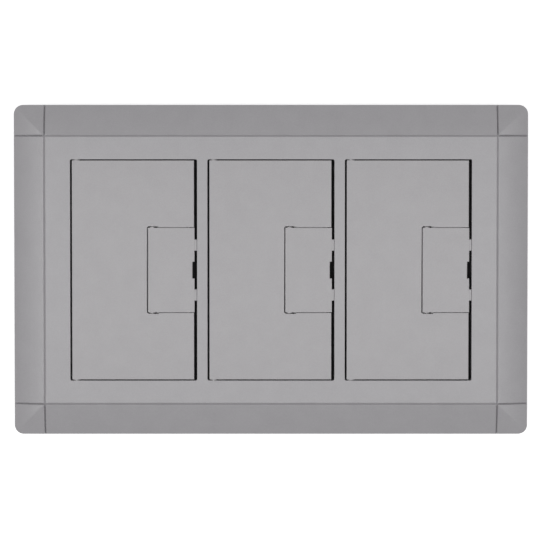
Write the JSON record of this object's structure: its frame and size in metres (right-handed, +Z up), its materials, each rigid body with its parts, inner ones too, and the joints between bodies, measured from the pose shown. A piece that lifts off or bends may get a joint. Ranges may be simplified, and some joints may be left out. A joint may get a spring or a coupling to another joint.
{
  "type": "floor box cover",
  "caption": "Rectangular three-gang floor box cover with a sloping grooved border, hinged lids and a small hinged cable door in each lid.",
  "frame": {"origin": "middle of the cover, at the bottom of the collar", "axes": "+X along the row of lids, +Y towards the back, +Z up out of the floor"},
  "size_m": [0.262, 0.168, 0.015],
  "materials": {
    "cover_grey": "fine matte texture",
    "seal_foam": "matte",
    "pin_steel": "plain"
  },
  "bodies": {
    "frame": {"flange": "cover_grey", "flange_gasket": "seal_foam", "lid_gasket_left": "seal_foam", "lid_pin_left_front": "pin_steel", "lid_pin_left_back": "pin_steel", "lid_gasket_middle": "seal_foam", "lid_pin_middle_front": "pin_steel", "lid_pin_middle_back": "pin_steel", "lid_gasket_right": "seal_foam", "lid_pin_right_front": "pin_steel", "lid_pin_right_back": "pin_steel"},
    "lid_left": {"lid_left": "cover_grey", "door_pin_left": "pin_steel"},
    "cable_door_left": {"cable_door_left": "cover_grey"},
    "lid_middle": {"lid_middle": "cover_grey", "door_pin_middle": "pin_steel"},
    "cable_door_middle": {"cable_door_middle": "cover_grey"},
    "lid_right": {"lid_right": "cover_grey", "door_pin_right": "pin_steel"},
    "cable_door_right": {"cable_door_right": "cover_grey"}
  },
  "joints": [
    {"name": "lid_left_hinge", "type": "hinge", "parent": "frame", "child": "lid_left", "pos_m": [-0.09905, 0, 0.013], "axis": [0, -1, 0], "range_deg": [0, 110]},
    {"name": "cable_door_left_hinge", "type": "hinge", "parent": "lid_left", "child": "cable_door_left", "pos_m": [-0.0605, 0, 0.0134], "axis": [0, -1, 0], "range_deg": [0, 95]},
    {"name": "lid_middle_hinge", "type": "hinge", "parent": "frame", "child": "lid_middle", "pos_m": [-0.0292, 0, 0.013], "axis": [0, -1, 0], "range_deg": [0, 110]},
    {"name": "cable_door_middle_hinge", "type": "hinge", "parent": "lid_middle", "child": "cable_door_middle", "pos_m": [0.00935, 0, 0.0134], "axis": [0, -1, 0], "range_deg": [0, 95]},
    {"name": "lid_right_hinge", "type": "hinge", "parent": "frame", "child": "lid_right", "pos_m": [0.04065, 0, 0.013], "axis": [0, -1, 0], "range_deg": [0, 110]},
    {"name": "cable_door_right_hinge", "type": "hinge", "parent": "lid_right", "child": "cable_door_right", "pos_m": [0.0792, 0, 0.0134], "axis": [0, -1, 0], "range_deg": [0, 95]}
  ]
}
